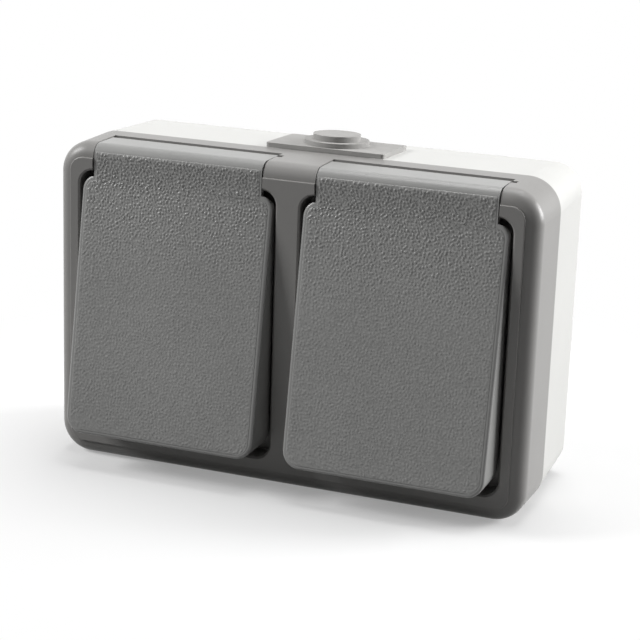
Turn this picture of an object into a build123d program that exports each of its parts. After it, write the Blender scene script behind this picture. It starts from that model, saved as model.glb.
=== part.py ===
from build123d import *
import math
import os

# Weatherproof double wall socket. Millimetres, X to the right, Z up, the wall plane is Y = 0 and
# the front looks along -Y. "Off the wall" below is a distance along -Y from the wall plane.

# Case
WIDTH = 140.6
HEIGHT = 92.4
BASE_DEPTH = 28.6
COVER_DEPTH = 19.9
CORNER = 9.2
BASE_DRAFT = 1.2
BASE_EDGE = 1.0
BASE_WALL = 2.8
BACK_WALL = 2.5
COVER_DRAFT = 0.3
COVER_EDGE = 4.0
COVER_WALL = 2.8
FRONT_WALL = 2.6
PANEL_RAISE = 0.6
PANEL_CORNER = 4.0
PANEL_EDGE = 0.3

# Seam between the box and the cover
RIM = 1.5
LIP_LENGTH = 3.4
GASKET = 1.6
SEAM_GAP = 0.2

# Bays under the lids
SIDE_STRIP = 7.3
MIDDLE_STRIP = 7.0
TOP_STRIP = 7.7
BOTTOM_STRIP = 8.0
BAY_CORNER = 4.2
BAY_EDGE = 0.5
BAY_EDGE_ANGLE = 45.0
BAY_DEPTH = 8.0
BAY_WALL = 1.8
BAY_FLOOR = 2.0

# Lids and hinges
LID_SIDE_GAP = 1.0
LID_BOTTOM_GAP = 2.6
LID_TOP_GAP = 1.3
LID_LIFT = 10.9
LID_FLUSH_DROP = 3.7
LID_WALL = 2.0
LID_RIM = 2.0
LID_EDGE = 0.8
LID_TOP_CORNER = 4.4
LID_BOTTOM_CORNER = 5.0
LID_FACE_BEND = 40.0
NECK_STEP = 3.45
NECK_INSET = 0.5
NECK_BEND = 3.2
NECK_OVERLAP = 6.0
HINGE_INSET = 10.6
BARREL_RADIUS = 3.0
PIN_RADIUS = 1.0
PIN_RUN = 0.05
PIN_SEAT = 2.6
HINGE_GAP = 0.35
NECK_GAP = 0.4
CHEEK = 3.4
HINGE_WALL = 1.8
PIN_SLOT_LENGTH = 1.5
SPRING_WIRE = 0.25
SPRING_RADIUS = 1.5
SPRING_TURNS = 3
SPRING_PITCH = 0.62
SPRING_WINDOW = 9.0
SPRING_LEAN = 25.0

# Lid seals
SKIRT_RADIUS = 23.0
SKIRT_WALL = 3.4
SEAL_WIDTH = 1.8
SEAL_HEIGHT = 2.2
SEAL_SEAT = 1.5
SEAL_GAP = 0.3

# Plug wells
WELL_RADIUS = 19.4
WELL_DEPTH = 17.5
WELL_FLOOR = 2.0
WELL_WALL = 1.8
WELL_INSET = 6.0
COLLAR_RADIUS = 23.0
COLLAR_GAP = 0.3
FLANGE_RADIUS = 26.0
FLANGE_THICKNESS = 2.0
LEAD_IN = 1.0
KEY_WIDTH = 5.0
KEY_HEIGHT = 2.2
KEY_SETBACK = 2.5
PIN_PITCH = 19.0
PIN_HOLE_RADIUS = 3.0
CLIP_SLOT_GAP = 0.6

# Contact carriers and conductors
CARRIER_WIDTH = 38.0
CARRIER_HEIGHT = 40.0
CARRIER_OFF_WALL = 4.5
CARRIER_GAP = 0.2
CARRIER_CORNER = 1.5
POCKET_WIDTH = 8.0
POCKET_HEIGHT = 8.4
BAR_THICKNESS = 0.8
BAR_WIDTH = 5.0
BAR_Z = 9.0
BAR_GAP = 0.25
CONTACT_WIDTH = 6.4
CONTACT_MOUTH = 4.4
CONTACT_PINCH = 0.5
CONTACT_SETBACK = 1.5
CLIP_WIDTH = 6.4
CLIP_THICKNESS = 0.8
CLIP_ARM_Z = 22.2
CLIP_TIP_Z = 17.0
CLIP_SETBACK = 7.5
CLIP_FOLD = 3.6
STRAP_OFF = 10.0
LINK_OVERLAP = 4.0
LINK_GAP = 1.5

# Terminals between the sockets
BLOCK_GAP = 1.75
BLOCK_HEIGHT = 43.0
BLOCK_FRONT = 19.0
CLAMP_WIDTH = 6.4
CLAMP_HEIGHT = 6.4
CLAMP_DEPTH = 8.0
CLAMP_GAP = 0.3
CLAMP_INSET = 4.7
CLAMP_SPACING = 1.3
WIRE_RADIUS = 1.8

# Screws and posts
SCREW_RADIUS = 1.7
SCREW_CLEARANCE = 0.2
THREAD_GAP = 0.05
HEAD_RADIUS = 3.2
HEAD_HEIGHT = 2.2
HEAD_GAP = 0.3
DRIVE_WIDTH = 0.9
DRIVE_LENGTH = 4.2
DRIVE_DEPTH = 1.1
COVER_SCREW_INSET_X = 6.25
COVER_SCREW_INSET_Z = 15.2
COVER_SCREW_REACH = 14.0
POST_RADIUS = 4.2
POST_TOP = 22.0
CARRIER_SCREW_X = 14.5
CARRIER_SCREW_Z = 15.0
CARRIER_SCREW_SEAT = 8.0
CARRIER_SCREW_TIP = 1.2
CARRIER_POST_RADIUS = 4.0
CENTRE_SCREW_REACH = 10.0

# Wall fixing
FIXING_SPACING_X = 60.0
FIXING_SPACING_Z = 66.0
FIXING_RADIUS = 2.25
FIXING_PAD_RADIUS = 5.5
FIXING_PAD_HEIGHT = 1.0

# Cable gland on the top of the box
GLAND_X = 2.3
GLAND_WIDTH = 35.0
GLAND_DEPTH = 20.0
GLAND_PLATE = 1.3
GLAND_CORNER = 1.0
GLAND_STEP_RADIUS = 9.15
GLAND_STEP_HEIGHT = 1.3
GLAND_CAP_RADIUS = 6.7
GLAND_CAP_HEIGHT = 1.6
GLAND_SKIN = 0.9
GLAND_SLOT_WIDTH = 27.0
GLAND_SLOT_DEPTH = 17.0
GLAND_FLANGE = 2.0
GLAND_FLANGE_THICKNESS = 1.4
GLAND_GAP = 0.15

# Places worked out from the sizes above
FRONT = BASE_DEPTH + COVER_DEPTH
RIM_DEPTH = LIP_LENGTH + GASKET
BASE_DRAFT_ANGLE = math.degrees(math.atan(BASE_DRAFT / BASE_DEPTH))
COVER_DRAFT_ANGLE = math.degrees(math.atan(COVER_DRAFT / (COVER_DEPTH - PANEL_RAISE)))
BAY_FLOOR_OFF = FRONT - BAY_DEPTH
BAY_BACK_OFF = BAY_FLOOR_OFF - BAY_FLOOR
BAY_WIDTH = (WIDTH - 2 * SIDE_STRIP - MIDDLE_STRIP) / 2
BAY_X = (BAY_WIDTH + MIDDLE_STRIP) / 2
BAY_TOP = HEIGHT / 2 - TOP_STRIP
BAY_BOTTOM = BOTTOM_STRIP - HEIGHT / 2
BAY_HEIGHT = BAY_TOP - BAY_BOTTOM
BAY_Z = (BAY_TOP + BAY_BOTTOM) / 2
LID_WIDTH = BAY_WIDTH - 2 * LID_SIDE_GAP
LID_TOP = BAY_TOP - LID_TOP_GAP
LID_BOTTOM = BAY_BOTTOM + LID_BOTTOM_GAP
LID_FLUSH_Z = LID_TOP - LID_FLUSH_DROP
NECK_WIDTH = LID_WIDTH - 2 * NECK_STEP
HINGE_OFF = FRONT - HINGE_INSET
HINGE_Z = HEIGHT / 2 - COVER_DRAFT - BARREL_RADIUS
LID_CEILING = HINGE_Z + BARREL_RADIUS
LID_SLOPE = LID_LIFT / (LID_FLUSH_Z - LID_BOTTOM)
SWING_RADIUS = math.hypot(HINGE_INSET, HINGE_Z - BAY_TOP) + NECK_GAP
WELL_RIM_OFF = FRONT - WELL_INSET
WELL_FLOOR_OFF = WELL_RIM_OFF - WELL_DEPTH
WELL_BACK_OFF = WELL_FLOOR_OFF - WELL_FLOOR
SEAL_OFF = WELL_RIM_OFF + SEAL_GAP
SKIRT_OFF = SEAL_OFF + SEAL_HEIGHT - SEAL_SEAT
CLIP_REACH = WELL_RIM_OFF - CLIP_SETBACK
CARRIER_FRONT = WELL_BACK_OFF - CARRIER_GAP
COVER_SCREW_X = BAY_X + BAY_WIDTH / 2 - COVER_SCREW_INSET_X
COVER_SCREW_Z = HEIGHT / 2 - COVER_SCREW_INSET_Z
BLOCK_WIDTH = 2 * BAY_X - CARRIER_WIDTH - 2 * BLOCK_GAP
BLOCK_LOW = LINK_GAP - CLIP_ARM_Z - CLIP_THICKNESS
BLOCK_Z = BLOCK_LOW + BLOCK_HEIGHT / 2
CLAMP_X = BLOCK_WIDTH / 2 - CLAMP_INSET
EARTH_CLAMP_Z = -BAR_Z - CLAMP_HEIGHT - CLAMP_SPACING
BAR_OFF = CARRIER_OFF_WALL + BAR_THICKNESS + BAR_GAP
SIDES = {"left": -1, "right": 1}
CLAMP_PLACES = {"live": (-CLAMP_X, BAR_Z), "neutral": (CLAMP_X, -BAR_Z), "earth": (0, EARTH_CLAMP_Z)}


def slab(sketch, start, end, taper=0.0):
    """Front-view sketch carried from one distance off the wall to another."""
    return extrude(Plane.XZ.offset(start) * sketch, end - start, taper=taper)


def bar(sketch, left, right):
    """Side-view sketch, drawn as (-distance off the wall, z), carried across from left to right."""
    return extrude(Plane.YZ.offset(left) * sketch, right - left)


def rod(x, z, radius, start, end):
    """Round rod or hole square to the wall."""
    return slab(Pos(x, z) * Circle(radius), start, end)


def block(x, z, width, height, start, end):
    """Rectangular block seen from the front."""
    return slab(Pos(x, z) * Rectangle(width, height), start, end)


def outline(inset):
    """Front outline of the case at the seam, drawn in by an inset."""
    return RectangleRounded(WIDTH - 2 * inset, HEIGHT - 2 * inset, CORNER - inset)


def screw(x, z, seat, tip):
    """Pan-head screw square to the wall: head in front of its seat, shank to its tip, slot in the head."""
    body = rod(x, z, HEAD_RADIUS, seat, seat + HEAD_HEIGHT)
    body = fillet(body.faces().sort_by(Axis.Y)[0].edges(), HEAD_HEIGHT / 3)
    body += rod(x, z, SCREW_RADIUS, tip, seat)
    top = seat + HEAD_HEIGHT
    for width, height in ((DRIVE_LENGTH, DRIVE_WIDTH), (DRIVE_WIDTH, DRIVE_LENGTH)):
        body -= block(x, z, width, height, top - DRIVE_DEPTH, top)
    return body


def cover_screw_places():
    return [(sx * COVER_SCREW_X, sz * COVER_SCREW_Z) for sx in (-1, 1) for sz in (-1, 1)]


def carrier_screw_places(centre):
    return [(centre + s * CARRIER_SCREW_X, s * CARRIER_SCREW_Z) for s in (-1, 1)]


def fixing_places():
    half_x = FIXING_SPACING_X / 2
    half_z = FIXING_SPACING_Z / 2
    return [(sx * half_x, sz * half_z) for sx in (-1, 1) for sz in (-1, 1)]


def gland_plane():
    """Plane on the drafted top of the box: X across, Y from the seam to the wall, Z outwards."""
    lean = math.radians(BASE_DRAFT_ANGLE)
    return Plane(
        origin=(GLAND_X, -BASE_DEPTH, HEIGHT / 2),
        x_dir=(1, 0, 0),
        z_dir=(0, math.sin(lean), math.cos(lean)),
    )


def gland_slab(sketch, low, high):
    """Sketch on the gland's plane carried between two heights over the box's top."""
    return extrude(gland_plane().offset(low) * sketch, high - low)


def gland_area(width, start, end):
    """Rectangle on the gland's plane between two distances from the seam."""
    return Pos(0, (start + end) / 2) * Rectangle(width, end - start)


def base_box():
    back = RectangleRounded(WIDTH - 2 * BASE_DRAFT, HEIGHT - 2 * BASE_DRAFT, CORNER - BASE_DRAFT)
    body = slab(back, 0, BASE_DEPTH, -BASE_DRAFT_ANGLE)
    body = fillet(body.faces().sort_by(Axis.Y)[-1].edges(), BASE_EDGE)
    inner = offset(back, -BASE_WALL)
    body -= slab(inner, BACK_WALL, BASE_DEPTH + BACK_WALL, -BASE_DRAFT_ANGLE)
    body -= slab(outline(RIM), BASE_DEPTH - RIM_DEPTH, BASE_DEPTH)
    pilot = SCREW_RADIUS + THREAD_GAP
    for x, z in cover_screw_places():
        body += rod(x, z, POST_RADIUS, BACK_WALL / 2, POST_TOP)
        body -= rod(x, z, pilot, POST_TOP - COVER_SCREW_REACH - SCREW_RADIUS, POST_TOP)
    for sign in SIDES.values():
        for x, z in carrier_screw_places(sign * BAY_X):
            body += rod(x, z, CARRIER_POST_RADIUS, BACK_WALL / 2, CARRIER_OFF_WALL)
            body -= rod(x, z, pilot, CARRIER_SCREW_TIP - SCREW_CLEARANCE, CARRIER_OFF_WALL)
    for sign in (-1, 1):
        foot_z = BLOCK_Z + sign * BLOCK_HEIGHT / 3
        body += block(0, foot_z, BLOCK_WIDTH / 2, POST_RADIUS, BACK_WALL / 2, CARRIER_OFF_WALL)
    for x, z in fixing_places():
        body += rod(x, z, FIXING_PAD_RADIUS, BACK_WALL / 2, BACK_WALL + FIXING_PAD_HEIGHT)
        body -= rod(x, z, FIXING_RADIUS, 0, BACK_WALL + FIXING_PAD_HEIGHT)
    slot = gland_area(GLAND_SLOT_WIDTH, -GLAND_DEPTH, GLAND_SLOT_DEPTH)
    return body - gland_slab(slot, -2 * BASE_WALL, GLAND_PLATE)


def cable_gland():
    centre = Pos(0, SEAM_GAP + GLAND_DEPTH / 2)
    body = gland_slab(centre * RectangleRounded(GLAND_WIDTH, GLAND_DEPTH, GLAND_CORNER), 0, GLAND_PLATE)
    step_top = GLAND_PLATE + GLAND_STEP_HEIGHT
    cap_top = step_top + GLAND_CAP_HEIGHT
    body += gland_slab(centre * Circle(GLAND_STEP_RADIUS), 0, step_top)
    body += gland_slab(centre * Circle(GLAND_CAP_RADIUS), 0, cap_top)
    neck_width = GLAND_SLOT_WIDTH - 2 * GLAND_GAP
    neck_end = GLAND_SLOT_DEPTH - GLAND_GAP
    behind_rim = RIM_DEPTH + SEAM_GAP
    body += gland_slab(gland_area(neck_width, SEAM_GAP, behind_rim), GLAND_GAP - RIM, 0)
    body += gland_slab(gland_area(neck_width, behind_rim, neck_end), -BASE_WALL, 0)
    flange_width = GLAND_SLOT_WIDTH + 2 * GLAND_FLANGE
    flange = gland_area(flange_width, behind_rim, GLAND_SLOT_DEPTH + GLAND_FLANGE)
    flange_top = -BASE_WALL - GLAND_GAP
    body += gland_slab(flange, flange_top - GLAND_FLANGE_THICKNESS, flange_top)
    body += gland_slab(gland_area(neck_width, behind_rim, neck_end), flange_top, -BASE_WALL)
    below = flange_top - GLAND_FLANGE_THICKNESS
    bore = Circle(GLAND_CAP_RADIUS - GLAND_SKIN)
    body -= gland_slab(centre * bore, below, cap_top - GLAND_SKIN)
    return body


def cover_gasket():
    ring = outline(RIM + SEAM_GAP / 2) - outline(BASE_WALL)
    return slab(ring, BASE_DEPTH - RIM_DEPTH, BASE_DEPTH - LIP_LENGTH)


def bay_outline(centre, grow):
    return Pos(centre, BAY_Z) * RectangleRounded(
        BAY_WIDTH + 2 * grow, BAY_HEIGHT + 2 * grow, BAY_CORNER + grow
    )


def hinge_circle(radius):
    return Pos(-HINGE_OFF, HINGE_Z) * Circle(radius)


def side_area(off_low, off_high, z_low, z_high):
    """Side-view rectangle between two distances off the wall and two heights."""
    return Pos(-(off_low + off_high) / 2, (z_low + z_high) / 2) * Rectangle(
        off_high - off_low, z_high - z_low
    )


def hinge_notch(left, right):
    """Room for a lid's neck and barrel: round behind the barrel, open to the front and the top."""
    reach = BARREL_RADIUS + HINGE_GAP
    neck_room = FRONT - NECK_INSET - LID_WALL - HINGE_GAP
    past_front = FRONT + HINGE_GAP
    space = hinge_circle(reach)
    space += side_area(HINGE_OFF - reach, past_front, HINGE_Z, HEIGHT)
    space += side_area(HINGE_OFF, past_front, HINGE_Z - reach, HEIGHT)
    space += side_area(neck_room, past_front, BAY_TOP - LID_WALL, HEIGHT)
    return bar(space, left, right)


def front_cover():
    shoulder = FRONT - PANEL_RAISE
    body = slab(outline(0), BASE_DEPTH, shoulder, COVER_DRAFT_ANGLE)
    body = fillet(body.faces().sort_by(Axis.Y)[0].edges(), COVER_EDGE)
    margin = COVER_DRAFT + COVER_EDGE
    panel = RectangleRounded(WIDTH - 2 * margin, HEIGHT - 2 * margin, PANEL_CORNER)
    raised = slab(panel, shoulder - PANEL_RAISE, FRONT)
    body += fillet(raised.faces().sort_by(Axis.Y)[0].edges(), PANEL_EDGE)
    outside = body
    body -= slab(outline(COVER_WALL), BASE_DEPTH, FRONT - FRONT_WALL)
    lip = outline(RIM + SEAM_GAP) - outline(COVER_WALL)
    body += slab(lip, BASE_DEPTH - LIP_LENGTH, BASE_DEPTH + COVER_WALL)
    half_notch = NECK_WIDTH / 2 + NECK_GAP
    hinge_back = HINGE_OFF - BARREL_RADIUS - HINGE_GAP - HINGE_WALL
    for sign in SIDES.values():
        centre = sign * BAY_X
        left = centre - half_notch
        right = centre + half_notch
        body += slab(bay_outline(centre, BAY_WALL), BAY_BACK_OFF, FRONT - FRONT_WALL / 2)
        hinge_room = side_area(hinge_back, FRONT - FRONT_WALL / 2, BAY_TOP, HEIGHT / 2 - COVER_WALL / 2)
        body += bar(hinge_room, left - CHEEK, right + CHEEK) & outside
    for x, z in cover_screw_places():
        body += rod(x, z, POST_RADIUS, POST_TOP, BAY_FLOOR_OFF)
    for sign in SIDES.values():
        centre = sign * BAY_X
        left = centre - half_notch
        right = centre + half_notch
        body -= slab(bay_outline(centre, 0), BAY_FLOOR_OFF, FRONT)
        body -= slab(bay_outline(centre, 0), FRONT - BAY_EDGE, FRONT, -BAY_EDGE_ANGLE)
        body -= hinge_notch(left, right)
        body -= bar(hinge_circle(PIN_RADIUS), left - PIN_SEAT, right + PIN_SEAT)
        slot = side_area(HINGE_OFF - PIN_RADIUS, HINGE_OFF + PIN_RADIUS, HINGE_Z, HEIGHT / 2)
        body -= bar(slot, right, right + PIN_SLOT_LENGTH)
        body -= rod(centre, 0, COLLAR_RADIUS + COLLAR_GAP, BAY_BACK_OFF, BAY_FLOOR_OFF)
    for x, z in cover_screw_places():
        body -= rod(x, z, SCREW_RADIUS + SCREW_CLEARANCE, POST_TOP, BAY_FLOOR_OFF)
    return body


def lid_path(depth):
    """Side line of a lid, drawn in by a depth: sloping face, upright neck, flange over the barrel."""
    slant = depth * math.hypot(1, LID_SLOPE)
    neck_off = FRONT - NECK_INSET - depth
    bend_z = LID_FLUSH_Z + (NECK_INSET + depth - slant) / LID_SLOPE
    low_z = LID_BOTTOM - LID_LIFT
    low_off = FRONT + (LID_FLUSH_Z - low_z) * LID_SLOPE - slant
    top_z = LID_CEILING - depth
    points = [(-low_off, low_z), (-neck_off, bend_z), (-neck_off, top_z), (-HINGE_OFF, top_z)]
    return FilletPolyline(*points, radius=[LID_FACE_BEND - depth, NECK_BEND - depth]), points


def lid_side(depth):
    """Side-view area behind a lid's outer line, drawn in by a depth."""
    path, points = lid_path(depth)
    low = (-HINGE_OFF, points[0][1])
    return make_face([path, Line(points[-1], low), Line(low, points[0])])


def lid_outline(centre, inset):
    """Front outline of a lid below its neck, with its own radius at the top and the bottom corners."""
    middle = (LID_TOP + LID_BOTTOM) / 2
    sheet = Pos(centre, middle) * Rectangle(LID_WIDTH - 2 * inset, LID_TOP - LID_BOTTOM - 2 * inset)
    sheet = fillet(sheet.vertices().group_by(Axis.Y)[-1], LID_TOP_CORNER - inset)
    return fillet(sheet.vertices().group_by(Axis.Y)[0], LID_BOTTOM_CORNER - inset)


def lid(centre):
    left = centre - LID_WIDTH / 2
    right = centre + LID_WIDTH / 2
    rim_off = FRONT - LID_RIM
    far_off = FRONT + 2 * LID_LIFT
    behind_face = bar(lid_side(0), left, right)
    body = slab(lid_outline(centre, 0), rim_off, far_off) & behind_face
    rear_edges = body.edges().filter_by_position(Axis.Y, -rim_off, -rim_off)
    along = body.edges().filter_by(Axis.Y)
    across = body.edges().filter_by(lambda e: e.length > LID_WIDTH - LID_EDGE)
    body = fillet(body.edges() - rear_edges - along - across, LID_EDGE)
    hollow = slab(lid_outline(centre, LID_WALL), rim_off, far_off)
    body -= hollow & bar(lid_side(LID_WALL), left, right)
    neck_low = LID_FLUSH_Z - NECK_OVERLAP
    neck = (lid_side(0) - lid_side(LID_WALL)) & side_area(0, far_off, neck_low, HEIGHT)
    neck_left = centre - NECK_WIDTH / 2
    neck_right = centre + NECK_WIDTH / 2
    for x_from, x_to in ((left, neck_left), (neck_right, right)):
        body -= bar(hinge_circle(SWING_RADIUS), x_from, x_to)
    body += bar(neck + hinge_circle(BARREL_RADIUS), neck_left, neck_right)
    skirt = Pos(centre, 0) * (Circle(SKIRT_RADIUS) - Circle(SKIRT_RADIUS - SKIRT_WALL))
    body += slab(skirt, SKIRT_OFF, far_off) & bar(lid_side(LID_WALL / 2), left, right)
    body -= slab(seal_ring(centre), SKIRT_OFF, SKIRT_OFF + SEAL_SEAT)
    body -= bar(hinge_circle(PIN_RADIUS + PIN_RUN), neck_left, neck_right)
    room = SPRING_RADIUS + SPRING_WIRE + HINGE_GAP
    window = hinge_circle(room)
    window += side_area(HINGE_OFF - 2 * BARREL_RADIUS, HINGE_OFF + 2 * room, 0, HINGE_Z + LID_WALL / 4)
    window &= side_area(HINGE_OFF - 2 * BARREL_RADIUS, HINGE_OFF + 2 * room, BAY_TOP, HEIGHT)
    half_window = SPRING_WINDOW / 2
    body -= bar(window, centre - half_window, centre + half_window)
    return body


def seal_ring(centre):
    middle = SKIRT_RADIUS - SKIRT_WALL / 2
    return Pos(centre, 0) * (Circle(middle + SEAL_WIDTH / 2) - Circle(middle - SEAL_WIDTH / 2))


def lid_seal(centre):
    return slab(seal_ring(centre), SEAL_OFF, SEAL_OFF + SEAL_HEIGHT)


def hinge_pin(centre):
    half = NECK_WIDTH / 2 + NECK_GAP + PIN_SEAT
    return bar(hinge_circle(PIN_RADIUS), centre - half, centre + half)


def lid_spring(centre):
    """Torsion spring: a coil round the pin, one leg up to the flange and one down to the notch.

    Both legs run on along the coil's own tangents, so the wire is one smooth sweep.
    """
    start_angle = 270 - SPRING_LEAN
    turns = SPRING_TURNS + (180 - start_angle) / 360
    length = turns * SPRING_PITCH
    coil = Rot(X=start_angle - 90) * Helix(SPRING_PITCH, length, SPRING_RADIUS, direction=(1, 0, 0))
    start = coil @ 0
    end = coil @ 1
    flange_under = BARREL_RADIUS - LID_WALL - SPRING_WIRE - PIN_RUN
    upper = start + (coil % 0) * ((flange_under - start.Z) / (coil % 0).Z)
    notch_floor = PIN_RUN - BARREL_RADIUS - HINGE_GAP
    lower = end + (coil % 1) * ((notch_floor - end.Z) / (coil % 1).Z)
    path = Wire([Edge.make_line(upper, start), coil.edge(), Edge.make_line(end, lower)])
    section = Plane(upper, z_dir=coil % 0) * Circle(SPRING_WIRE)
    return Pos(centre - length / 2, -HINGE_OFF, HINGE_Z) * sweep(section, path=path)


def socket_face(centre):
    back = WELL_BACK_OFF
    tube = WELL_RADIUS + WELL_WALL
    flange_low = BAY_BACK_OFF - FLANGE_THICKNESS
    profile = Polyline(
        (0, -back), (tube, -back), (tube, -flange_low), (FLANGE_RADIUS, -flange_low),
        (FLANGE_RADIUS, -BAY_BACK_OFF), (COLLAR_RADIUS, -BAY_BACK_OFF), (COLLAR_RADIUS, -WELL_RIM_OFF),
        (WELL_RADIUS + LEAD_IN, -WELL_RIM_OFF), (WELL_RADIUS, LEAD_IN - WELL_RIM_OFF),
        (WELL_RADIUS, -WELL_FLOOR_OFF), (0, -WELL_FLOOR_OFF), close=True,
    )
    body = Pos(centre, 0, 0) * revolve(make_face(profile), Axis.Y)
    key_x = WELL_RADIUS - KEY_HEIGHT / 2 + WELL_WALL / 4
    for sign in (-1, 1):
        key_span = KEY_HEIGHT + WELL_WALL / 2
        body += block(centre + sign * key_x, 0, key_span, KEY_WIDTH, back, WELL_RIM_OFF - KEY_SETBACK)
        pin_x = centre + sign * PIN_PITCH / 2
        body -= rod(pin_x, 0, PIN_HOLE_RADIUS, back, WELL_FLOOR_OFF)
        slot_z = sign * (CLIP_TIP_Z + CLIP_ARM_Z + 2 * CLIP_THICKNESS) / 2
        slot_height = CLIP_ARM_Z - CLIP_TIP_Z + 2 * CLIP_THICKNESS
        slot_width = CLIP_WIDTH + 2 * CLIP_SLOT_GAP
        body -= block(centre, slot_z, slot_width, slot_height, back, CLIP_REACH + CLIP_SLOT_GAP)
    body -= rod(centre, 0, SCREW_RADIUS + SCREW_CLEARANCE, back, WELL_FLOOR_OFF)
    return body


def bar_slot(bar_z):
    """Groove across the back of a carrier for a conductor bar."""
    height = BAR_WIDTH + 2 * BAR_GAP
    return Pos(0, bar_z) * Rectangle(2 * WIDTH, height)


def contact_carrier(centre):
    body = block(centre, 0, CARRIER_WIDTH, CARRIER_HEIGHT, CARRIER_OFF_WALL, CARRIER_FRONT)
    body = fillet(body.edges().filter_by(Axis.Y), CARRIER_CORNER)
    for sign in (-1, 1):
        pin_x = centre + sign * PIN_PITCH / 2
        body -= block(pin_x, 0, POCKET_WIDTH, POCKET_HEIGHT, CARRIER_OFF_WALL, CARRIER_FRONT)
        body -= slab(bar_slot(sign * BAR_Z), CARRIER_OFF_WALL, BAR_OFF + BAR_GAP)
        tab_x = centre - sign * PIN_PITCH / 2
        tab = Pos(tab_x, sign * BAR_Z / 2) * Rectangle(POCKET_WIDTH, BAR_Z)
        body -= slab(tab, CARRIER_OFF_WALL, BAR_OFF + BAR_GAP)
    strap_width = CLIP_WIDTH + 2 * CLIP_SLOT_GAP
    strap_front = STRAP_OFF + CLIP_THICKNESS + BAR_GAP
    body -= block(centre, 0, strap_width, CARRIER_HEIGHT, CARRIER_OFF_WALL, strap_front)
    for x, z in carrier_screw_places(centre):
        body -= rod(x, z, SCREW_RADIUS + SCREW_CLEARANCE, CARRIER_OFF_WALL, CARRIER_FRONT)
        body -= rod(x, z, HEAD_RADIUS + HEAD_GAP, CARRIER_OFF_WALL + CARRIER_SCREW_SEAT, CARRIER_FRONT)
    pilot_end = WELL_FLOOR_OFF - CENTRE_SCREW_REACH - SCREW_RADIUS
    body -= rod(centre, 0, SCREW_RADIUS + THREAD_GAP, pilot_end, CARRIER_FRONT)
    return body


def conductor(sign):
    """Bar across both sockets with a two-leaf pin contact in each, above the pins for sign 1."""
    bar_back = BAR_OFF - BAR_THICKNESS
    places = [side * BAY_X - sign * PIN_PITCH / 2 for side in SIDES.values()]
    middle = sum(places) / len(places)
    span = 2 * BAY_X + CONTACT_WIDTH
    body = block(middle, sign * BAR_Z, span, BAR_WIDTH, bar_back, BAR_OFF)
    leaf_z = CONTACT_MOUTH / 2 + BAR_THICKNESS / 2
    tip = CARRIER_FRONT - CONTACT_SETBACK
    waist = (bar_back + 2 * tip) / 3
    for x in places:
        body += block(x, sign * BAR_Z / 2, CONTACT_WIDTH, BAR_Z, bar_back, BAR_OFF)
        root = block(x, 0, CONTACT_WIDTH, CONTACT_MOUTH + 2 * BAR_THICKNESS, bar_back, BAR_OFF)
        body += root
        for half in (-1, 1):
            line = Polyline(
                (-bar_back - BAR_THICKNESS / 2, half * leaf_z),
                (-waist, half * (leaf_z - CONTACT_PINCH)),
                (-tip, half * (leaf_z + CONTACT_PINCH)),
            )
            body += bar(trace(line, BAR_THICKNESS), x - CONTACT_WIDTH / 2, x + CONTACT_WIDTH / 2)
    return body


def earth_clip(centre):
    """Strap through the carrier with two arms whose tips fold back into the well."""
    half_sheet = CLIP_THICKNESS / 2
    back = -STRAP_OFF - half_sheet
    arm_z = CLIP_ARM_Z + half_sheet
    tip_z = CLIP_TIP_Z + half_sheet
    fold = half_sheet - CLIP_REACH
    end_z = (tip_z + arm_z) / 2
    arm = [(back, arm_z), (fold, arm_z), (fold + CLIP_FOLD, tip_z), (fold + 2 * CLIP_FOLD, end_z)]
    other_arm = [(off, -z) for off, z in reversed(arm)]
    sheet = trace(Polyline(*other_arm, *arm), CLIP_THICKNESS)
    return bar(sheet, centre - CLIP_WIDTH / 2, centre + CLIP_WIDTH / 2)


def earth_link():
    arm_z = CLIP_ARM_Z + CLIP_THICKNESS
    back = BAR_OFF - BAR_THICKNESS
    strip_z = -arm_z - BAR_THICKNESS / 2
    body = block(0, strip_z, 2 * BAY_X + CLIP_WIDTH, BAR_THICKNESS, back, STRAP_OFF + LINK_OVERLAP)
    tab_top = CLAMP_PLACES["earth"][1] + CLAMP_HEIGHT / 2
    tab_low = -arm_z - BAR_THICKNESS
    body += block(0, (tab_top + tab_low) / 2, BAR_WIDTH, tab_top - tab_low, back, BAR_OFF)
    return body


def terminal_block():
    body = block(0, BLOCK_Z, BLOCK_WIDTH, BLOCK_HEIGHT, CARRIER_OFF_WALL, BLOCK_FRONT)
    body = fillet(body.edges().filter_by(Axis.Y), CARRIER_CORNER)
    for sign in (-1, 1):
        body -= slab(bar_slot(sign * BAR_Z), CARRIER_OFF_WALL, BAR_OFF)
    earth_x, earth_z = CLAMP_PLACES["earth"]
    tab_top = earth_z + CLAMP_HEIGHT / 2 + BAR_GAP
    tab_height = tab_top - BLOCK_LOW
    tab_width = BAR_WIDTH + 2 * BAR_GAP
    body -= block(earth_x, tab_top - tab_height / 2, tab_width, tab_height, CARRIER_OFF_WALL, BAR_OFF)
    wire_off = BAR_OFF + CLAMP_DEPTH / 3
    for x, z in CLAMP_PLACES.values():
        width = CLAMP_WIDTH + 2 * CLAMP_GAP
        height = CLAMP_HEIGHT + 2 * CLAMP_GAP
        body -= block(x, z, width, height, CARRIER_OFF_WALL, BAR_OFF + CLAMP_DEPTH + CLAMP_GAP)
        body -= rod(x, z, HEAD_RADIUS + HEAD_GAP, BAR_OFF, BLOCK_FRONT)
        body -= extrude(Plane((x, -wire_off, z)) * Circle(WIRE_RADIUS), BLOCK_HEIGHT)
    return body


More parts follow.
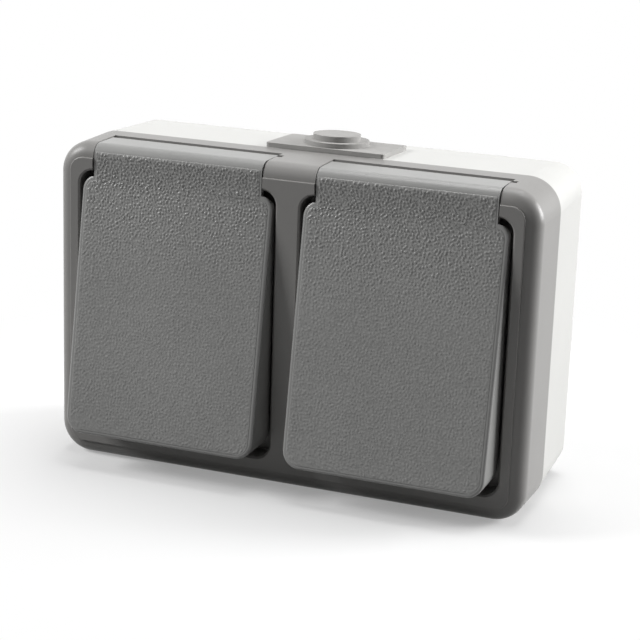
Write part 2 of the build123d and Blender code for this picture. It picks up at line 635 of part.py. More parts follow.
def terminal_clamps():
    clamps = []
    wire_off = BAR_OFF + CLAMP_DEPTH / 3
    front = BAR_OFF + CLAMP_DEPTH
    for x, z in CLAMP_PLACES.values():
        clamp = block(x, z, CLAMP_WIDTH, CLAMP_HEIGHT, BAR_OFF, front)
        clamp -= extrude(Plane((x, -wire_off, z)) * Circle(WIRE_RADIUS), CLAMP_HEIGHT, both=True)
        clamp -= rod(x, z, SCREW_RADIUS + THREAD_GAP, wire_off, front)
        clamps.append(clamp)
    return clamps


def terminal_screws():
    wire_off = BAR_OFF + CLAMP_DEPTH / 3
    front = BAR_OFF + CLAMP_DEPTH
    return [screw(x, z, front, wire_off + WIRE_RADIUS) for x, z in CLAMP_PLACES.values()]


def cover_screws():
    return [screw(x, z, BAY_FLOOR_OFF, POST_TOP - COVER_SCREW_REACH) for x, z in cover_screw_places()]


def carrier_screws():
    seat = CARRIER_OFF_WALL + CARRIER_SCREW_SEAT
    places = [spot for sign in SIDES.values() for spot in carrier_screw_places(sign * BAY_X)]
    return [screw(x, z, seat, CARRIER_SCREW_TIP) for x, z in places]


def centre_screws():
    tip = WELL_FLOOR_OFF - CENTRE_SCREW_REACH
    return [screw(sign * BAY_X, 0, WELL_FLOOR_OFF, tip) for sign in SIDES.values()]


SINGLE_PIECES = {
    "base_box": base_box,
    "front_cover": front_cover,
    "cover_gasket": cover_gasket,
    "cable_gland": cable_gland,
    "earth_link": earth_link,
    "terminal_block": terminal_block,
}
PIECES_BY_SIDE = {
    "lid": lid,
    "lid_seal": lid_seal,
    "lid_spring": lid_spring,
    "hinge_pin": hinge_pin,
    "socket_face": socket_face,
    "contact_carrier": contact_carrier,
    "earth_clip": earth_clip,
}
GROUPS = {
    "terminal_clamps": terminal_clamps,
    "terminal_screws": terminal_screws,
    "cover_screws": cover_screws,
    "carrier_screws": carrier_screws,
    "centre_screws": centre_screws,
}


def main():
    os.makedirs("parts", exist_ok=True)
    nodes = {name: make() for name, make in SINGLE_PIECES.items()}
    for name, make in PIECES_BY_SIDE.items():
        for side, sign in SIDES.items():
            nodes[f"{name}_{side}"] = make(sign * BAY_X)
    for name, make in GROUPS.items():
        nodes[name] = Compound(children=[piece.solid() for piece in make()])
    nodes["live_bar"] = conductor(1)
    nodes["neutral_bar"] = conductor(-1)
    for name, shape in nodes.items():
        export_step(shape, f"parts/{name}.step")


if __name__ == "__main__":
    main()
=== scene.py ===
import math

import bpy
import numpy as np
from bpy.props import FloatProperty, FloatVectorProperty, IntProperty, PointerProperty
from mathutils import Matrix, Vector


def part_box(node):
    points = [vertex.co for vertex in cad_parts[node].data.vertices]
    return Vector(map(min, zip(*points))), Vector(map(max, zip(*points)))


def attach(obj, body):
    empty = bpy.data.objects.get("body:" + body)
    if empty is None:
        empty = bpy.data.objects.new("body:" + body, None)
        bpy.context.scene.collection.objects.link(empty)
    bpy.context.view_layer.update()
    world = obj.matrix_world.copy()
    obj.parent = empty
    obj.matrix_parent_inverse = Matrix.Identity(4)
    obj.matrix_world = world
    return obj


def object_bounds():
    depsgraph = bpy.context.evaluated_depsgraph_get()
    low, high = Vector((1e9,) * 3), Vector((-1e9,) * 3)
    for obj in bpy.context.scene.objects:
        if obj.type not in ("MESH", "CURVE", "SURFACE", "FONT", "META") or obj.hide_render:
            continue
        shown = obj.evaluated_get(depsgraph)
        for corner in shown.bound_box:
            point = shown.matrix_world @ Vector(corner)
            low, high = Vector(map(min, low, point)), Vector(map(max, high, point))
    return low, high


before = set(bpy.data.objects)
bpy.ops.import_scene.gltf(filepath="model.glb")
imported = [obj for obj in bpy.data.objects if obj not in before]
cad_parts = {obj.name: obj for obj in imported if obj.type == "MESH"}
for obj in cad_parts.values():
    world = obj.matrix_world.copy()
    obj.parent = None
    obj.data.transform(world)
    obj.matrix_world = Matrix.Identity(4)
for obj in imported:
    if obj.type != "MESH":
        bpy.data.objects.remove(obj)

CAD_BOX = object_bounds()

bl_info = {
    "name": "Weatherproof double socket",
    "version": (1, 0, 0),
    "blender": (4, 5, 0),
    "location": "3D View > Sidebar > Socket",
    "description": "Finishes, lid grain and studio of a weatherproof double wall socket",
    "category": "Object",
}

MM = 0.001
SIDES = ("left", "right")

# Side line and outline of a lid, in millimetres: distances off the wall and heights
PANEL_OFF = 48.5
FACE_SLOPE = 10.9 / 69.1
FACE_FLUSH_Z = 33.5
FACE_BEND = 40.0
NECK_OFF = 48.0
NECK_HALF = 25.3
NECK_BEND = 3.2
LID_CEILING = 45.9
SHOULDER_CORNER = 4.4
TOE_CORNER = 5.0
SHOULDER_TOP = 36.65
SHOULDER_CORNER_TOP = 37.2

# Grain: where its crests begin and end, in standard deviations, its two bands of waves per cell, the
# points over which it falls to its rim, and the heights in millimetres between which it fades
CREST_FOOT = -0.2
CREST_TOP = 1.7
MAIN_WAVE = 1.0
MAIN_SPREAD = 0.42
FINE_WAVE = 2.1
FINE_SPREAD = 0.5
FINE_SHARE = 0.25
RIM_POINTS = 3
FADE_LOW = 4.0
FADE_HIGH = 38.0
FADE_LEFT = 0.42

# Lip behind a lid's barrel, in millimetres
LIP_REACH = 0.25
LIP_ROOT = 0.15
LIP_END = math.radians(35)
LIP_STEPS = 12

# Patterns of the finishes, in waves per metre
CLOUD_WAVES = 38.0
LID_CLOUD_WAVES = 30.0
RIM_CLOUD_WAVES = 26.0
CELL_WAVES = 950.0
PORE_WAVES = 2400.0
PEEL_WAVES = 420.0
BLOOM_WAVES = 85.0
PEBBLE_WAVES = 1500.0
LINE_WAVES = 900.0
PATCH_WAVES = 140.0

# Studio, in metres where it is a length: floor tones, reach of the kept shadow, and the camera's sensor
WHITE = (1.0, 1.0, 1.0, 1.0)
FLOOR_BOUNCE = 0.18
FLOOR_TONE = 0.90
FLOOR_LIFT = 0.28
SHADOW_NEAR = 0.075
SHADOW_FAR = 0.17
LAMP_TARGET = (0, -0.03, 0)
SENSOR_WIDTH = 36.0
CLIP_START = 0.01


def colour_property(label, words, default):
    return FloatVectorProperty(
        name=label, description=words, subtype="COLOR", size=3, min=0.0, max=1.0, default=default
    )


def length_property(label, words, default):
    return FloatProperty(
        name=label, description=words, subtype="DISTANCE", unit="LENGTH", default=default
    )


def watt_property(label, words, default):
    power = f"Power of the {words}, in watts"
    return FloatProperty(name=label, description=power, min=0.0, default=default)


class SocketColours(bpy.types.PropertyGroup):
    """Colours of the moulded, rubber and metal pieces."""

    base: colour_property("Wall box", "Pale plastic of the wall box", (0.655, 0.655, 0.638))
    cover: colour_property("Cover", "Grey plastic of the cover", (0.285, 0.279, 0.271))
    lid: colour_property("Lids", "Grey plastic of the two lids", (0.320, 0.320, 0.313))
    well: colour_property("Plug wells", "Smooth plastic of the plug wells", (0.36, 0.355, 0.345))
    carrier: colour_property("Carriers", "Pale plastic of the inner blocks", (0.70, 0.69, 0.65))
    gland: colour_property("Gland", "Grey rubber of the cable gland", (0.380, 0.374, 0.364))
    seal: colour_property("Seals", "Black rubber of the seals", (0.030, 0.030, 0.031))
    brass: colour_property("Brass", "Bars and clamps", (0.78, 0.57, 0.25))
    plated: colour_property("Plated strip", "Earth straps and screws", (0.66, 0.65, 0.62))
    steel: colour_property("Drawn steel", "Hinge pins and springs", (0.56, 0.56, 0.57))


class LidGrainSizes(bpy.types.PropertyGroup):
    """Sizes of the moulded grain on the lids."""

    margin: length_property("Margin", "Smooth rim left round the grain", 1.15 * MM)
    neck_margin: length_property("Neck margin", "Smooth rim at the sides of the neck", 0.45 * MM)
    start: length_property("Top of the grain", "Height at which the grain begins on the neck", 43.8 * MM)
    cell: length_property("Cell", "Spacing of the grain", 0.95 * MM)
    height: length_property("Height", "Height of the grain from valley to top", 0.27 * MM)
    lift: length_property("Lift", "How far the grain's valleys stand over the smooth face", 0.02 * MM)
    root: length_property("Root", "How deep the grained skin is set into the lid", 0.30 * MM)
    pitch: length_property("Mesh pitch", "Distance between the points of the surface", 0.225 * MM)
    seed: IntProperty(name="Seed", description="Start of the grain's random draws", default=11)


class StudioSettings(bpy.types.PropertyGroup):
    """Camera, floor and lamps."""

    lens: FloatProperty(name="Lens", description="Focal length in millimetres", default=109.608)
    place: FloatVectorProperty(
        name="Camera", description="Where the camera stands", subtype="TRANSLATION", unit="LENGTH",
        size=3, default=(0.190700, -0.523867, 0.151914),
    )
    turn: FloatVectorProperty(
        name="Turn", description="How the camera is turned", subtype="EULER", unit="ROTATION",
        size=3, default=tuple(math.radians(a) for a in (73.81288, -1.87115, 21.30609)),
    )
    floor: length_property("Floor", "Width of the floor", 6.0)
    top: watt_property("Top lamp", "soft lamp overhead", 6.5)
    right: watt_property("Right lamp", "soft lamp on the right", 12.8)
    left: watt_property("Left lamp", "soft lamp on the left", 10.3)
    ambient: FloatProperty(name="Ambient", description="Strength of the light from all round", default=0.02)


class Wire:
    """A shader socket that takes part in Python expressions; each operator adds a Math node."""

    def __init__(self, tree, socket=None):
        self.tree = tree
        self.socket = socket

    def node(self, kind, settings, inputs, output=0):
        """Adds a node: its settings are set first, then its sockets get values or links."""
        made = self.tree.nodes.new(kind)
        for key, value in settings.items():
            setattr(made, key, value)
        for key, value in inputs.items():
            if isinstance(value, Wire):
                self.tree.links.new(value.socket, made.inputs[key])
            else:
                made.inputs[key].default_value = value
        return Wire(self.tree, made.outputs[output])

    def _math(self, operation, first, second):
        return self.node("ShaderNodeMath", {"operation": operation}, {0: first, 1: second})

    def __add__(self, other):
        return self._math("ADD", self, other)

    __radd__ = __add__

    def __sub__(self, other):
        return self._math("SUBTRACT", self, other)

    def __rsub__(self, other):
        return self._math("SUBTRACT", other, self)

    def __mul__(self, other):
        return self._math("MULTIPLY", self, other)

    __rmul__ = __mul__

    def above(self, low, high):
        """0 below low, 1 above high, smooth between."""
        settings = {"interpolation_type": "SMOOTHSTEP"}
        return self.node("ShaderNodeMapRange", settings, {"Value": self, "From Min": low, "From Max": high})

    def tint(self, low, high):
        """Colour that goes from low to high as the value goes from 0 to 1."""
        settings = {"data_type": "RGBA"}
        return self.node("ShaderNodeMix", settings, {0: self, 6: low, 7: high}, 2)

    def noise(self, place, scale, detail=2.0, roughness=0.5):
        """Noise from 0 to 1 with a scale in waves per metre."""
        sockets = {"Vector": place, "Scale": scale, "Detail": detail, "Roughness": roughness}
        return self.node("ShaderNodeTexNoise", {"noise_dimensions": "3D"}, sockets)


def shade(colour, factor):
    """Four-value colour of a three-value one, lighter or darker by a factor."""
    return tuple(min(1.0, part * factor) for part in colour[:3]) + (1.0,)


def new_finish(name):
    """Empty material: its wire, its place on the piece, and its shader node."""
    material = bpy.data.materials.new(name)
    material.use_nodes = True
    tree = material.node_tree
    shader = tree.nodes["Principled BSDF"]
    wire = Wire(tree)
    place = wire.node("ShaderNodeTexCoord", {}, {}, "Object")
    return material, wire, place, shader


def join(wire, shader, **sockets):
    """Puts values or wires on the shader's sockets; an underscore in a name stands for a space."""
    for key, value in sockets.items():
        target = shader.inputs[key.replace("_", " ")]
        if isinstance(value, Wire):
            wire.tree.links.new(value.socket, target)
        else:
            target.default_value = value


def bumped(wire, height, strength, distance):
    """Normal bent by a height, in metres at full strength."""
    sockets = {"Strength": strength, "Distance": distance, "Height": height}
    return wire.node("ShaderNodeBump", {}, sockets, "Normal")


def moulded(name, colour, rough, pitch, depth, mottle, specular):
    """Moulded plastic: slow clouds in its colour, fine specks, and an eroded skin of a given pitch."""
    material, wire, place, shader = new_finish(name)
    clouds = wire.noise(place, CLOUD_WAVES, 3.0)
    specks = wire.noise(place, 1.0 / pitch, 2.0, 0.6)
    skin = wire.noise(place, 0.6 / pitch, 3.0, 0.65)
    tone = clouds * 0.6 + specks * 0.4
    join(
        wire, shader,
        Base_Color=tone.above(0.25, 0.75).tint(shade(colour, 1 - mottle), shade(colour, 1 + mottle)),
        Roughness=rough - 0.06 + skin * 0.08 + clouds * 0.04,
        Normal=bumped(wire, skin, 0.6, depth),
        Specular_IOR_Level=specular,
    )
    return material


def grained_lid(name, colour):
    """Lid plastic: moulded skin whose tops are painted a little lighter, a painted highlight on the grain,
    and are smoother than its valleys.
    """
    material, wire, place, shader = new_finish(name)
    clouds = wire.noise(place, LID_CLOUD_WAVES, 3.0)
    cells = wire.node(
        "ShaderNodeTexVoronoi", {"feature": "SMOOTH_F1"},
        {"Vector": place, "Scale": CELL_WAVES, "Smoothness": 0.6}, "Distance",
    )
    pores = wire.noise(place, PORE_WAVES, 3.0, 0.6)
    # the (1 - cells) share paints the grain's tops lighter in colour: a painted highlight
    tone = clouds * 0.35 + pores * 0.35 + (1 - cells) * 0.3
    join(
        wire, shader,
        Base_Color=tone.above(0.3, 0.7).tint(shade(colour, 0.86), shade(colour, 1.14)),
        Roughness=0.28 + pores * 0.12 - cells * 0.06,
        Normal=bumped(wire, pores * 0.5 - cells, 0.35, 0.06 * MM),
        Specular_IOR_Level=0.55,
    )
    return material


def smooth_lid(name, colour):
    """Smooth part of the lid: a satin skin with the faintest orange peel."""
    material, wire, place, shader = new_finish(name)
    clouds = wire.noise(place, RIM_CLOUD_WAVES, 3.0)
    peel = wire.noise(place, PEEL_WAVES)
    join(
        wire, shader,
        Base_Color=clouds.above(0.3, 0.7).tint(shade(colour, 0.96), shade(colour, 1.04)),
        Roughness=0.28 + peel * 0.08,
        Normal=bumped(wire, peel, 0.25, 0.03 * MM),
        Specular_IOR_Level=0.6,
    )
    return material


def rubber(name, colour):
    """Rubber: dull, dusted with fine pale bloom in patches, with a pebbled skin."""
    material, wire, place, shader = new_finish(name)
    bloom = wire.noise(place, BLOOM_WAVES, 4.0, 0.6)
    pebble = wire.noise(place, PEBBLE_WAVES)
    join(
        wire, shader,
        Base_Color=bloom.above(0.35, 0.8).tint(shade(colour, 0.94), shade(colour, 1.12)),
        Roughness=0.62 + bloom * 0.12 + pebble * 0.06,
        Normal=bumped(wire, pebble, 0.4, 0.05 * MM),
        Specular_IOR_Level=0.25,
    )
    return material


def metal(name, colour, rough, stretch, tarnish):
    """Stamped or drawn metal: fine lines along one axis, and dull tarnish in patches."""
    material, wire, place, shader = new_finish(name)
    along = wire.node("ShaderNodeMapping", {}, {"Vector": place, "Scale": stretch})
    lines = wire.noise(along, LINE_WAVES, 3.0, 0.6)
    patches = wire.noise(place, PATCH_WAVES, 4.0, 0.6)
    dull = patches.above(0.45, 0.75)
    join(
        wire, shader,
        Base_Color=dull.tint(shade(colour, 1.0), shade(colour, tarnish)),
        Roughness=rough + lines * 0.14 + dull * 0.12,
        Normal=bumped(wire, lines, 0.3, 0.02 * MM),
        Metallic=1.0,
    )
    return material


def dress(material, *names):
    """Gives CAD nodes a finish through their material slots."""
    for name in names:
        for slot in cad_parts[name].material_slots:
            slot.material = material


def both(*names):
    return [f"{name}_{side}" for name in names for side in SIDES]


def new_piece(name, points, faces):
    """Object at the origin, with its points, given in millimetres, in its mesh."""
    mesh = bpy.data.meshes.new(name)
    mesh.from_pydata((points * MM).tolist(), [], faces)
    piece = bpy.data.objects.new(name, mesh)
    bpy.context.scene.collection.objects.link(piece)
    return piece


def face_line(z):
    """Side line of a lid's face, in millimetres off the wall for heights z.

    From the bottom up: a sloping straight, an arc that is hollow to the front and tangent to it and to
    the upright neck, the neck, and the first part of the arc over the top.
    """
    lean = math.atan(FACE_SLOPE)
    knee = FACE_FLUSH_Z + (PANEL_OFF - NECK_OFF) / FACE_SLOPE
    reach = FACE_BEND * math.tan(lean / 2)
    arc_top = knee + reach
    arc_low = knee - reach * math.cos(lean)
    bend_z = LID_CEILING - NECK_BEND
    straight = PANEL_OFF + (FACE_FLUSH_Z - z) * FACE_SLOPE
    hollow = NECK_OFF + FACE_BEND - np.sqrt(np.maximum(FACE_BEND ** 2 - (z - arc_top) ** 2, 0))
    over = NECK_OFF - NECK_BEND + np.sqrt(np.maximum(NECK_BEND ** 2 - (z - bend_z) ** 2, 0))
    return np.select([z < arc_low, z < arc_top, z < bend_z], [straight, hollow, NECK_OFF + 0 * z], over)


def face_half_width(z, half, bottom, margin, neck_margin):
    """Half the grain's width at heights z, in millimetres: a neck over a sheet with rounded corners."""
    top_centre = SHOULDER_CORNER_TOP - SHOULDER_CORNER
    low_centre = bottom + TOE_CORNER
    top_round = np.clip((SHOULDER_CORNER - margin) ** 2 - np.maximum(z - top_centre, 0) ** 2, 0, None)
    low_round = np.clip((TOE_CORNER - margin) ** 2 - np.maximum(low_centre - z, 0) ** 2, 0, None)
    upper = half - SHOULDER_CORNER + np.sqrt(top_round)
    lower = half - TOE_CORNER + np.sqrt(low_round)
    body = np.where(z > 0, upper, lower)
    return np.where(z > SHOULDER_TOP - margin, NECK_HALF - neck_margin, body)


def soft_step(value, low, high):
    """0 below low, 1 above high, and 3t² - 2t³ between them."""
    t = np.clip((value - low) / (high - low), 0, 1)
    return t * t * (3 - 2 * t)


def grain_field(shape, cells, seed):
    """Moulded grain from 0 to 1 on a grid.

    White noise is kept only near two wavelengths in the Fourier plane, which leaves winding ridges one
    cell apart with finer ones among them; a soft step then keeps the crests and lays the rest out flat.
    """
    draws = np.random.default_rng(seed).standard_normal(shape)
    across = np.fft.fftfreq(shape[0])[:, None]
    along = np.fft.fftfreq(shape[1])[None, :]
    waves = np.hypot(across, along) * cells
    main = np.exp(-((waves - MAIN_WAVE) / MAIN_SPREAD) ** 2)
    fine = np.exp(-((waves - FINE_WAVE) / FINE_SPREAD) ** 2)
    band = main + FINE_SHARE * fine
    ridges = np.fft.ifft2(np.fft.fft2(draws) * band).real
    ridges /= ridges.std()
    return soft_step(ridges, CREST_FOOT, CREST_TOP)


def lid_grain(name, centre, half, bottom, sizes, seed):
    """Grained skin of a lid: a closed sheet over the lid's face.

    A point is (u, v): v runs down the face line and u across it, scaled to the width at that height.
    The top stands off the face along its normal by the grain, which fades down the lid;
    the underside is the face line moved inwards, one strip per row, and the rims close the two.
    """
    start = sizes.start / MM
    margin = sizes.margin / MM
    low = bottom + margin
    pitch = sizes.pitch / MM
    rows = int((start - low) / pitch)
    columns = int(2 * half / pitch)
    z = np.linspace(start, low, rows)
    width = face_half_width(z, half, bottom, margin, sizes.neck_margin / MM)
    off = face_line(z)
    step = pitch / 10
    tilt = (face_line(z + step) - face_line(z - step)) / (2 * step)
    size = np.hypot(1, tilt)
    u = np.linspace(-1, 1, columns)
    x = u[None, :] * width[:, None]
    grain = grain_field((rows, 2 * columns), sizes.cell / sizes.pitch, seed)
    pick = np.clip(np.round((x + half) / pitch).astype(int), 0, 2 * columns - 1)
    fade = FADE_LEFT + (1 - FADE_LEFT) * soft_step(z, FADE_LOW, FADE_HIGH)
    height = grain[np.arange(rows)[:, None], pick] * fade[:, None] * sizes.height / MM
    rim = np.minimum(np.arange(columns), np.arange(columns)[::-1])[None, :]
    end = np.minimum(np.arange(rows), np.arange(rows)[::-1])[:, None]
    height = sizes.lift / MM + height * np.clip(np.minimum(rim, end) / RIM_POINTS, 0, 1)
    top = np.stack([
        centre + x,
        -off[:, None] - height / size[:, None],
        z[:, None] - height * (tilt / size)[:, None],
    ], axis=-1)
    sunk = sizes.root / MM
    under = np.stack([
        centre + np.stack([-width, width], axis=1),
        np.repeat((-off + sunk / size)[:, None], 2, axis=1),
        np.repeat((z + sunk * tilt / size)[:, None], 2, axis=1),
    ], axis=-1)
    points = np.concatenate([top.reshape(-1, 3), under.reshape(-1, 3)])
    index = np.arange(rows * columns).reshape(rows, columns)
    lower = rows * columns + np.arange(2 * rows).reshape(rows, 2)

    def strips(a, b):
        return np.stack([a[:-1], b[:-1], b[1:], a[1:]], axis=-1).reshape(-1, 4)

    quads = [
        np.stack([index[:-1, :-1], index[1:, :-1], index[1:, 1:], index[:-1, 1:]], axis=-1).reshape(-1, 4),
        strips(lower[:, 1], lower[:, 0])[:, ::-1],
        strips(lower[:, 0], index[:, 0])[:, ::-1],
        strips(index[:, -1], lower[:, 1])[:, ::-1],
    ]
    faces = np.concatenate(quads).tolist()
    faces.append([*index[0].tolist(), int(lower[0, 1]), int(lower[0, 0])])
    faces.append([*index[-1, ::-1].tolist(), int(lower[-1, 0]), int(lower[-1, 1])])
    piece = new_piece(name, points, faces)
    piece.data.shade_smooth()
    return piece


def hinge_lip(name, centre, axis_off, axis_z):
    """Lip that fills the lid's top out to the cover, behind the barrel.

    Its outline, carried across the neck's width, is the flat top from the barrel's crown back to a
    circle about the pin, that circle down to the lip's end, and a smaller circle back up inside the barrel.
    """
    barrel = LID_CEILING - axis_z
    outer = barrel + LIP_REACH
    inner = barrel - LIP_ROOT
    sweep = np.linspace(math.asin(barrel / outer), LIP_END, LIP_STEPS)
    back_sweep = np.linspace(LIP_END, math.pi / 2, LIP_STEPS)
    off = np.concatenate([[0.0], -outer * np.cos(sweep), -inner * np.cos(back_sweep)])
    rise = np.concatenate([[barrel], outer * np.sin(sweep), inner * np.sin(back_sweep)])
    count = len(off)
    ends = []
    for x in (centre - NECK_HALF, centre + NECK_HALF):
        ends.append(np.stack([np.full(count, x), -(axis_off + off), axis_z + rise], axis=-1))
    index = np.arange(count)
    after = np.roll(index, -1)
    walls = np.stack([index, index + count, after + count, after], axis=-1).tolist()
    caps = [index[::-1].tolist(), (index + count).tolist()]
    return new_piece(name, np.concatenate(ends), walls + caps)


class SOCKET_OT_finish_case(bpy.types.Operator):
    """Gives the wall box, the cover, the gasket and the cable gland their finishes"""

    bl_idname = "socket.finish_case"
    bl_label = "Finish the case"

    def execute(self, context):
        colours = context.scene.socket_colours
        pale = moulded(
            "pale_box_plastic", colours.base,
            rough=0.52, pitch=0.30 * MM, depth=0.03 * MM, mottle=0.03, specular=0.25,
        )
        grey = moulded(
            "grey_cover_plastic", colours.cover,
            rough=0.36, pitch=0.26 * MM, depth=0.03 * MM, mottle=0.05, specular=0.40,
        )
        dress(pale, "base_box")
        dress(grey, "front_cover")
        dress(rubber("grey_gland_rubber", colours.gland), "cable_gland")
        dress(rubber("black_gasket_rubber", colours.seal), "cover_gasket")
        return {"FINISHED"}


class SOCKET_OT_finish_lids(bpy.types.Operator):
    """Gives the lids their smooth rim, their grained face and their seals"""

    bl_idname = "socket.finish_lids"
    bl_label = "Finish the lids"

    def execute(self, context):
        colours = context.scene.socket_colours
        sizes = context.scene.socket_grain
        smooth = smooth_lid("grey_lid_plastic", colours.lid)
        dress(smooth, *both("lid"))
        dress(rubber("black_seal_rubber", colours.seal), *both("lid_seal"))
        face = grained_lid("grained_lid_plastic", colours.lid)
        for turn, side in enumerate(SIDES):
            low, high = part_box(f"lid_{side}")
            centre = (low.x + high.x) / 2 / MM
            half = (high.x - low.x) / 2 / MM
            piece = lid_grain(f"lid_grain_{side}", centre, half, low.z / MM, sizes, sizes.seed + turn)
            piece.data.materials.append(face)
            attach(piece, f"lid_{side}")
            pin_low, pin_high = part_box(f"hinge_pin_{side}")
            axis = (pin_low + pin_high) / 2 / MM
            lip = hinge_lip(f"lid_lip_{side}", centre, -axis.y, axis.z)
            lip.data.materials.append(smooth)
            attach(lip, f"lid_{side}")
        return {"FINISHED"}


class SOCKET_OT_finish_hinges(bpy.types.Operator):
    """Gives the hinge pins and the lid springs their drawn steel"""

    bl_idname = "socket.finish_hinges"
    bl_label = "Finish the hinges"

    def execute(self, context):
        colours = context.scene.socket_colours
        steel = metal("drawn_steel", colours.steel, rough=0.22, stretch=(0.05, 1.0, 1.0), tarnish=0.75)
        dress(steel, *both("hinge_pin", "lid_spring"))
        return {"FINISHED"}


class SOCKET_OT_finish_wells(bpy.types.Operator):
    """Gives the plug wells, their earth straps and their screws their finishes"""

    bl_idname = "socket.finish_wells"
    bl_label = "Finish the plug wells"

    def execute(self, context):
        colours = context.scene.socket_colours
        well = moulded(
            "smooth_well_plastic", colours.well,
            rough=0.34, pitch=0.40 * MM, depth=0.02 * MM, mottle=0.03, specular=0.45,
        )
        strip = metal("plated_strip", colours.plated, rough=0.26, stretch=(1.0, 1.0, 0.08), tarnish=0.72)
        plated = metal("plated_screws", colours.plated, rough=0.30, stretch=(1.0, 0.1, 1.0), tarnish=0.68)
        dress(well, *both("socket_face"))
        dress(strip, *both("earth_clip"))
        dress(plated, "centre_screws", "cover_screws", "carrier_screws", "terminal_screws")
        return {"FINISHED"}


class SOCKET_OT_finish_wiring(bpy.types.Operator):
    """Gives the carriers, bars and terminals their finishes"""

    bl_idname = "socket.finish_wiring"
    bl_label = "Finish the wiring"

    def execute(self, context):
        colours = context.scene.socket_colours
        block = moulded(
            "carrier_plastic", colours.carrier,
            rough=0.5, pitch=0.35 * MM, depth=0.02 * MM, mottle=0.04, specular=0.4,
        )
        brass = metal("stamped_brass", colours.brass, rough=0.24, stretch=(0.08, 1.0, 1.0), tarnish=0.62)
        dress(block, *both("contact_carrier"), "terminal_block")
        dress(brass, "live_bar", "neutral_bar", "earth_link", "terminal_clamps")
        return {"FINISHED"}


def seen_rays(wire):
    """1 for rays of the camera, of a gloss or through a surface, and 0 for light that falls on things."""
    path = wire.node("ShaderNodeLightPath", {}, {}).socket.node.outputs
    names = ("Is Camera Ray", "Is Glossy Ray", "Is Transmission Ray")
    camera, gloss, through = (Wire(wire.tree, path[name]) for name in names)
    return (camera + gloss + through).above(0.0, 1.0)


def soft_lamp(name, place, power, size):
    """Square area lamp that looks at the middle of the socket."""
    lamp = bpy.data.lights.new(name, "AREA")
    lamp.energy = power
    lamp.size = size
    holder = bpy.data.objects.new(name, lamp)
    holder.location = place
    holder.rotation_euler = (Vector(LAMP_TARGET) - Vector(place)).to_track_quat("-Z", "Y").to_euler()
    bpy.context.scene.collection.objects.link(holder)


def floor_finish():
    """White floor: a dull sheet that keeps the shadow near the object and runs out into white."""
    material = bpy.data.materials.new("studio_floor")
    material.use_nodes = True
    tree = material.node_tree
    wire = Wire(tree)
    tree.nodes.remove(tree.nodes["Principled BSDF"])
    place = wire.node("ShaderNodeTexCoord", {}, {}, "Object")
    reach = wire.node("ShaderNodeVectorMath", {"operation": "LENGTH"}, {0: place}, "Value")
    seen = seen_rays(wire)
    sheet = seen.tint(shade(WHITE, FLOOR_BOUNCE), shade(WHITE, FLOOR_TONE))
    dull = wire.node("ShaderNodeBsdfDiffuse", {}, {"Color": sheet})
    white = wire.node("ShaderNodeEmission", {}, {"Color": WHITE, "Strength": 1.0})
    lift = seen * (reach.above(SHADOW_NEAR, SHADOW_FAR) * (1 - FLOOR_LIFT) + FLOOR_LIFT)
    mixed = wire.node("ShaderNodeMixShader", {}, {0: lift, 1: dull, 2: white})
    tree.links.new(mixed.socket, tree.nodes["Material Output"].inputs["Surface"])
    return material


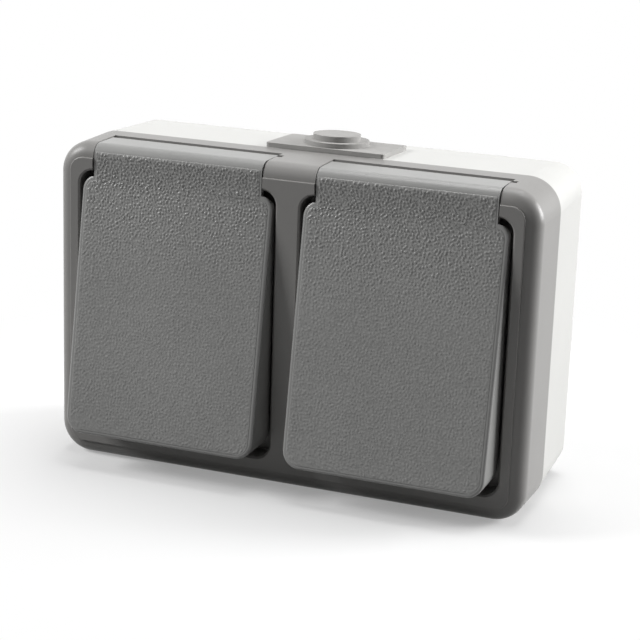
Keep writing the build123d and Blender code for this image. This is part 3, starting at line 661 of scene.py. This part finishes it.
class SOCKET_OT_stage(bpy.types.Operator):
    """Makes the floor, the lamps, the world and the camera"""

    bl_idname = "socket.stage"
    bl_label = "Set the stage"

    def execute(self, context):
        scene = context.scene
        studio = scene.socket_studio
        half = studio.floor / 2
        ground = CAD_BOX[0][2]
        mesh = bpy.data.meshes.new("floor")
        turns = ((-1, -1), (1, -1), (1, 1), (-1, 1))
        corners = [(x * half, y * half, ground) for x, y in turns]
        mesh.from_pydata(corners, [], [(0, 1, 2, 3)])
        floor = bpy.data.objects.new("floor", mesh)
        mesh.materials.append(floor_finish())
        scene.collection.objects.link(floor)

        soft_lamp("top_lamp", (0.05, 0.15, 0.95), studio.top, 0.7)
        soft_lamp("right_lamp", (0.85, 0.50, 0.28), studio.right, 0.5)
        soft_lamp("left_lamp", (-0.95, -0.42, 0.62), studio.left, 0.45)

        world = bpy.data.worlds.new("studio")
        world.use_nodes = True
        scene.world = world
        tree = world.node_tree
        wire = Wire(tree)
        background = tree.nodes["Background"]
        background.inputs["Color"].default_value = WHITE
        lit = seen_rays(wire) * (1 - studio.ambient) + studio.ambient
        tree.links.new(lit.socket, background.inputs["Strength"])

        camera = bpy.data.cameras.new("camera")
        camera.lens = studio.lens
        camera.sensor_width = SENSOR_WIDTH
        camera.clip_start = CLIP_START
        camera.dof.use_dof = False
        holder = bpy.data.objects.new("camera", camera)
        holder.location = studio.place
        holder.rotation_euler = studio.turn
        scene.collection.objects.link(holder)
        scene.camera = holder
        scene.view_settings.view_transform = "Standard"
        return {"FINISHED"}


STEPS = (
    SOCKET_OT_finish_case,
    SOCKET_OT_finish_lids,
    SOCKET_OT_finish_hinges,
    SOCKET_OT_finish_wells,
    SOCKET_OT_finish_wiring,
    SOCKET_OT_stage,
)


class SOCKET_PT_panel(bpy.types.Panel):
    """Lists the steps that dress the socket"""

    bl_idname = "SOCKET_PT_panel"
    bl_label = "Weatherproof socket"
    bl_space_type = "VIEW_3D"
    bl_region_type = "UI"
    bl_category = "Socket"

    def draw(self, context):
        for step in STEPS:
            self.layout.operator(step.bl_idname)


GROUPS = {
    "socket_colours": SocketColours,
    "socket_grain": LidGrainSizes,
    "socket_studio": StudioSettings,
}
CLASSES = (*GROUPS.values(), *STEPS, SOCKET_PT_panel)


def register():
    for cls in CLASSES:
        bpy.utils.register_class(cls)
    for name, group in GROUPS.items():
        setattr(bpy.types.Scene, name, PointerProperty(type=group))


def unregister():
    for name in GROUPS:
        delattr(bpy.types.Scene, name)
    for cls in reversed(CLASSES):
        bpy.utils.unregister_class(cls)


def main():
    register()
    bpy.ops.socket.stage()
    bpy.ops.socket.finish_case()
    bpy.ops.socket.finish_lids()
    bpy.ops.socket.finish_hinges()
    bpy.ops.socket.finish_wells()
    bpy.ops.socket.finish_wiring()
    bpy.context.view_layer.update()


if __name__ == "__main__":
    main()
